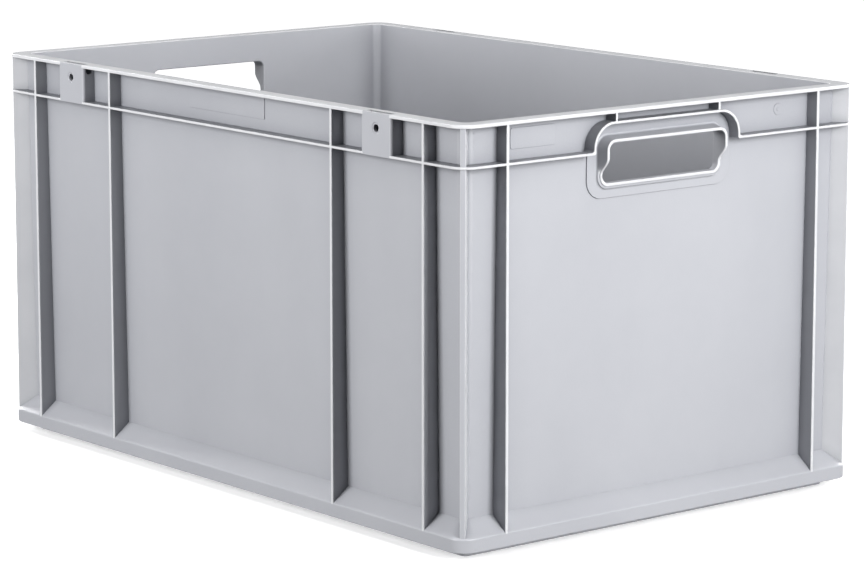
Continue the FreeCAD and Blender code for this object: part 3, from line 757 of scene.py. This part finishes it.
def socket_mesh(place, middle, half, back):
    """Three upright cheeks in a U that is open at the back. The front one is raised to the rim's top."""
    inner = half - SOCKET_WALL
    outer_line = bar_plan(half, back, 0, SOCKET_EDGE)
    inner_line = [Vector((inner, back)), Vector((inner, SOCKET_WALL)),
                  Vector((-inner, SOCKET_WALL)), Vector((-inner, back))]
    plan = outer_line + inner_line
    mesh = bmesh.new()
    levels = (LOWER_Z[0] + TINY_STEP, RIM_UNDER + HEAD_OVERLAP)
    base, top = [[mesh.verts.new(place(middle + p.x, z, p.y)) for p in plan] for z in levels]
    for i in range(len(plan)):
        j = (i + 1) % len(plan)
        mesh.faces.new((base[i], base[j], top[j], top[i]))
    mesh.faces.new(base)
    last = len(outer_line) - 1
    mesh.faces.new((top[0], top[1], top[last + 3], top[last + 4]))
    mesh.faces.new((top[last - 1], top[last], top[last + 1], top[last + 2]))
    front = mesh.faces.new(top[1:last] + [top[last + 2], top[last + 3]])
    raised = bmesh.ops.extrude_discrete_faces(mesh, faces=[front])["faces"][0]
    for vert in raised.verts:
        vert.co.z = TOP - TINY_STEP
    bmesh.ops.recalc_face_normals(mesh, faces=mesh.faces)
    bmesh.ops.bevel(mesh, geom=list(raised.edges), offset=SOCKET_TOP_EDGE, segments=3, profile=0.5,
                    affect="EDGES")
    return mesh


def hole_cutter(side, middle):
    """The screw hole of a socket, with a shallow recess round it."""
    place = on_side(side)
    loops = [[place(p.x, p.y, inset) for p in circle(middle, SCREW_HOLE_Z, radius)]
             for radius, inset in SCREW_PROFILE]
    return make_object("hole_cutter", skin(loops, caps=True))


def notch_cutter(side, end, middle, half):
    """The rounded notch for a hinge pin in a socket's inner cheek."""
    place = on_side(side)
    start = SOCKET_WALL + NOTCH_SETBACK
    low, high = RIM_UNDER - NOTCH_DEPTH, RIM_UNDER + BEYOND
    profile = soften([(start, low, NOTCH_CORNER), (start + NOTCH_WIDTH, low, NOTCH_CORNER),
                      (start + NOTCH_WIDTH, high, 0), (start, high, 0)])
    near = middle - end * (half + JUST_BEYOND)
    far = middle - end * (half - SOCKET_WALL - JUST_BEYOND)
    loops = [[place(x, p.y, p.x) for p in profile] for x in (near, far)]
    return make_object("notch_cutter", skin(loops, caps=True))


# ---- grips ----

def make_tube(name, place):
    """The grip tube: out of the wall along its widened root, round the lip and back in through the hole."""
    in_wall, field = off_wall(WALL / 2), off_wall(-FIELD_RISE)
    inside = off_wall(WALL + TINY_STEP)
    section = [(TUBE_WALL + ROOT_SPREAD, in_wall, 0)]
    section += [(TUBE_WALL + spread * MM, field, -out * MM) for spread, out in ROOT_BLEND]
    section += [(TUBE_WALL - LIP_EDGE * a, lip_inset, LIP_EDGE * b) for a, b in quarter_turn()]
    section += [(LIP_EDGE * b, lip_inset, LIP_EDGE * a) for a, b in quarter_turn()]
    section += [(MOUTH_EDGE * a, inside, -MOUTH_EDGE * b) for a, b in quarter_turn()]
    section += [(TUBE_WALL - TUBE_TUCK, inside, 0), (TUBE_WALL - TUBE_TUCK, in_wall, TUBE_HIDDEN)]
    loops = [[place(p.x, p.y, surface(p.y) + extra) for p in grip_outline(name, offset)]
             for offset, surface, extra in section]
    sleeve = make_object(f"{name}_grip_sleeve", skin(loops, wrap=True))
    add_piece(sleeve, f"{name}_grip_tube", wear_and_highlight="lip")


def make_arch(name, place):
    """The band that carries the lower rim up and over the grip. Returns the half width inside it."""
    low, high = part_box(f"{name}_grip_arch")
    half = (high.y - low.y) / 2
    inner, inner_top = half - ARCH_THICK, high.z - ARCH_THICK
    inner_corner = ARCH_CORNER - ARCH_THICK
    foot_low, foot_high = LOWER_Z[0] + TINY_STEP, LOWER_Z[1] - TINY_STEP
    foot_end = ARCH_FOOT + PLATE_OVERLAP
    outline = soften([
        (-foot_end, foot_low, 0), (-inner, foot_low, ARCH_FOOT_INNER),
        (-inner, inner_top, inner_corner), (inner, inner_top, inner_corner),
        (inner, foot_low, ARCH_FOOT_INNER), (foot_end, foot_low, 0),
        (foot_end, foot_high, 0), (half, foot_high, ARCH_FOOT_OUTER),
        (half, high.z, ARCH_CORNER), (-half, high.z, ARCH_CORNER),
        (-half, foot_high, ARCH_FOOT_OUTER), (-foot_end, foot_high, 0),
    ])
    arch = slab(f"{name}_grip_arch_band", outline, place, off_wall(RIB_OVERLAP), upright(RIB_FACE),
                ARCH_EDGE)
    add_piece(arch, f"{name}_grip_arch", wear_and_highlight="outer")
    return inner


def make_surround(name, side, arch_inner):
    """The raised field round the grip, which fills the arch and hangs below it."""
    low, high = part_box(f"{name}_grip_surround")
    edge, top = arch_inner + FIELD_MARGIN, high.z + FIELD_MARGIN
    outline = soften([(-edge, low.z, FIELD_LOW_CORNER), (edge, low.z, FIELD_LOW_CORNER),
                      (edge, top, FIELD_HIGH_CORNER), (-edge, top, FIELD_HIGH_CORNER)])
    surround = slab(f"{name}_grip_field", outline, on_end(side), off_wall(BAND_OVERLAP),
                    off_wall(-FIELD_RISE), FIELD_EDGE)
    carve(surround, grip_cutter(name, side))
    add_piece(surround, f"{name}_grip_surround", wear_and_highlight="shell")


def make_struts(name, place):
    """The two small uprights between the arch and the top rim."""
    low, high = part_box(f"{name}_grip_struts")
    bottom, top = low.z - STRUT_DROP, RIM_UNDER + HEAD_OVERLAP
    for side_name, side in SIDES:
        at = side * ((high.y - low.y) / 2 - STRUT_HALF)
        outline = soften([(at - STRUT_HALF, bottom, 0), (at + STRUT_HALF, bottom, 0),
                          (at + STRUT_HALF, top, 0), (at - STRUT_HALF, top, 0)])
        strut = slab(f"{name}_grip_strut_{side_name}", outline, place, off_wall(PLATE_OVERLAP),
                     upright(3 * TINY_STEP), STRUT_EDGE)
        add_piece(strut, f"{name}_grip_struts", wear_and_highlight="outer")


def make_grips():
    """The grip of each end: tube, arch, raised surround and struts."""
    for name, side in ENDS:
        place = on_end(side)
        make_tube(name, place)
        arch_inner = make_arch(name, place)
        make_surround(name, side, arch_inner)
        make_struts(name, place)


# ---- marks ----

def make_marks():
    """Blank raised marks: a plate and a round date mark on the right end, and a panel on the front."""
    back = off_wall(PLATE_OVERLAP)
    low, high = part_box("marking_plate")
    outline = soften([(low.y, low.z, PLATE_CORNER), (high.y, low.z, PLATE_CORNER),
                      (high.y, high.z, PLATE_CORNER), (low.y, high.z, PLATE_CORNER)])
    plate = slab("marking_plate_blank", outline, on_end(1), back, off_wall(-PLATE_RISE), PLATE_EDGE)
    add_piece(plate, "marking_plate", wear_and_highlight="shell")
    for name, radius, rise in DATE_DISCS:
        outline = circle(*DATE_MARK, radius)
        disc = slab(f"date_mark_{name}", outline, on_end(1), back, off_wall(-rise), DISC_EDGE)
        add_piece(disc, wear_and_highlight="shell")
    top = RIM_UNDER + LABEL_OVERLAP
    outline = soften([(LABEL_LEFT, LABEL_LOW, LABEL_CORNER), (LABEL_RIGHT, LABEL_LOW, LABEL_CORNER),
                      (LABEL_RIGHT, top, 0), (LABEL_LEFT, top, 0)])
    panel = slab("front_label_panel", outline, on_side(-1), back, off_wall(-LABEL_RISE), LABEL_EDGE)
    add_piece(panel, wear_and_highlight="shell")


# ---- studio ----

def make_floor():
    """A white floor that is seen only from above, and that glows brighter away from the crate."""
    mesh = bmesh.new()
    bmesh.ops.create_grid(mesh, x_segments=4, y_segments=4, size=STUDIO_HALF)
    floor = make_object("studio_floor", mesh)
    floor.location.z = BOTTOM - STUDIO_DROP
    material = bpy.data.materials.new("studio_white")
    material.use_nodes = True
    nodes, links = material.node_tree.nodes, material.node_tree.links
    shader = nodes["Principled BSDF"]
    shader.inputs["Base Color"].default_value = (0.92, 0.92, 0.92, 1)
    shader.inputs["Roughness"].default_value = 0.9
    shader.inputs["Specular IOR Level"].default_value = 0.1
    place = nodes.new("ShaderNodeTexCoord")
    distance = nodes.new("ShaderNodeVectorMath")
    distance.operation = "LENGTH"
    links.new(place.outputs["Object"], distance.inputs[0])
    glow = nodes.new("ShaderNodeMapRange")
    glow.interpolation_type = "SMOOTHSTEP"
    glow.inputs["From Min"].default_value = GLOW_FROM
    glow.inputs["From Max"].default_value = GLOW_TO
    glow.inputs["To Min"].default_value = GLOW_LOW
    glow.inputs["To Max"].default_value = GLOW_HIGH
    links.new(distance.outputs["Value"], glow.inputs["Value"])
    shader.inputs["Emission Color"].default_value = (1, 1, 1, 1)
    links.new(glow.outputs["Result"], shader.inputs["Emission Strength"])
    below = nodes.new("ShaderNodeNewGeometry")
    clear = nodes.new("ShaderNodeBsdfTransparent")
    mix = nodes.new("ShaderNodeMixShader")
    links.new(below.outputs["Backfacing"], mix.inputs[0])
    links.new(shader.outputs[0], mix.inputs[1])
    links.new(clear.outputs[0], mix.inputs[2])
    links.new(mix.outputs[0], nodes["Material Output"].inputs["Surface"])
    floor.data.materials.append(material)
    floor.visible_diffuse = False
    floor.visible_glossy = False
    floor.visible_shadow = False


def make_world():
    """A white backdrop for the camera, and a much weaker even light on the crate."""
    world = bpy.data.worlds.new("studio")
    bpy.context.scene.world = world
    world.use_nodes = True
    nodes, links = world.node_tree.nodes, world.node_tree.links
    ambient = nodes["Background"]
    ambient.inputs["Color"].default_value = AMBIENT_COLOUR
    ambient.inputs["Strength"].default_value = AMBIENT
    backdrop = nodes.new("ShaderNodeBackground")
    backdrop.inputs["Color"].default_value = (1, 1, 1, 1)
    backdrop.inputs["Strength"].default_value = 1.0
    path = nodes.new("ShaderNodeLightPath")
    mix = nodes.new("ShaderNodeMixShader")
    links.new(path.outputs["Is Camera Ray"], mix.inputs[0])
    links.new(ambient.outputs[0], mix.inputs[1])
    links.new(backdrop.outputs[0], mix.inputs[2])
    links.new(mix.outputs[0], nodes["World Output"].inputs["Surface"])


def direction(azimuth, elevation):
    """Unit vector towards an azimuth, measured from -Y towards +X, and an elevation above the floor."""
    a, e = math.radians(azimuth), math.radians(elevation)
    return Vector((math.sin(a) * math.cos(e), -math.cos(a) * math.cos(e), math.sin(e)))


def looking_along(view):
    """Rotation of a light or camera that looks along a direction."""
    return view.to_track_quat("-Z", "Y").to_euler()


def add_softbox(name, azimuth, elevation, distance, size, watts):
    """A soft rectangular light that the camera doesn't see."""
    light = bpy.data.lights.new(name, "AREA")
    light.shape = "RECTANGLE"
    light.size, light.size_y = size
    light.energy = watts
    item = bpy.data.objects.new(name, light)
    item.location = LIGHT_AIM + direction(azimuth, elevation) * distance
    item.rotation_euler = looking_along(-direction(azimuth, elevation))
    item.visible_camera = False
    bpy.context.scene.collection.objects.link(item)


def make_camera():
    """The camera for the main view."""
    camera = bpy.data.cameras.new("camera")
    camera.lens = CAMERA_LENS
    camera.shift_y = CAMERA_SHIFT
    camera.clip_end = 100
    item = bpy.data.objects.new("camera", camera)
    item.location = CAMERA_PLACE
    item.rotation_euler = looking_along(-direction(CAMERA_AZIMUTH, CAMERA_PITCH))
    bpy.context.scene.collection.objects.link(item)
    bpy.context.scene.camera = item


# What add_piece calls wear_and_highlight. "shell" gets the pale wear and painted highlight of "outer", and
# its painted shade reaches deeper into its recesses.
PLASTIC = {
    None: make_plastic("grey_polypropylene"),
    "outer": make_plastic("grey_polypropylene_worn_and_highlit_rim", "outer"),
    "shell": make_plastic("grey_polypropylene_shell", "outer", SHELL_PAINTED_SHADE_REACH),
    "fin": make_plastic("grey_polypropylene_worn_and_highlit_fin", "fin"),
    "lip": make_plastic("grey_polypropylene_worn_and_highlit_lip", "lip"),
}
make_shell()
make_skirt()
make_foot()
make_lower_rim()
make_ribs()
make_fins()
make_sockets()
make_grips()
make_marks()

make_floor()
make_world()
make_camera()
for softbox in SOFTBOXES:
    add_softbox(*softbox)
bpy.context.scene.view_settings.view_transform = "Standard"
